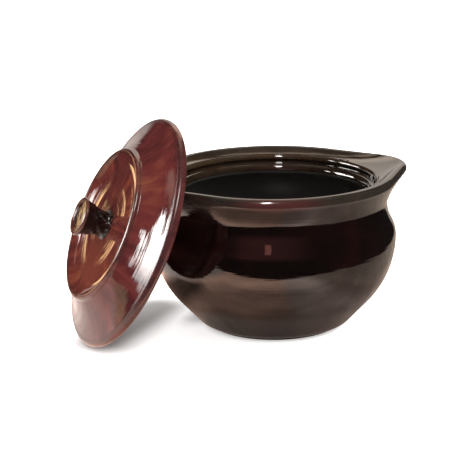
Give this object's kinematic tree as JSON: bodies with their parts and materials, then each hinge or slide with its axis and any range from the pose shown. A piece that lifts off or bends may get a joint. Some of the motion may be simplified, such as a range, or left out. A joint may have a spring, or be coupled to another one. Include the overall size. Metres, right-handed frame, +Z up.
{
  "type": "individual stoneware casserole",
  "caption": "Small round-bellied stoneware crock with pointed rim lugs, a lid gallery and a foot ring, and a loose knobbed lid that leans on a lug and lifts away.",
  "frame": {"origin": "centre of the foot ring, on the table", "axes": "+Z up the crock's axis, +X along the free lug, the lid leans on the lug at -X"},
  "size_m": [0.1667, 0.1164, 0.1018],
  "materials": {
    "dark_glaze": "glossy near-black brown stoneware glaze",
    "brown_glaze": "glossy red-brown stoneware glaze that breaks to olive on the edges"
  },
  "bodies": {
    "crock": {"crock": "dark_glaze"},
    "lid": {"lid": "brown_glaze", "lid_knob": "brown_glaze"}
  },
  "joints": [
    {"name": "lid_lift", "type": "slide", "parent": "crock", "child": "lid", "axis": [0, 0, 1], "range_m": [0, 0.12]}
  ]
}
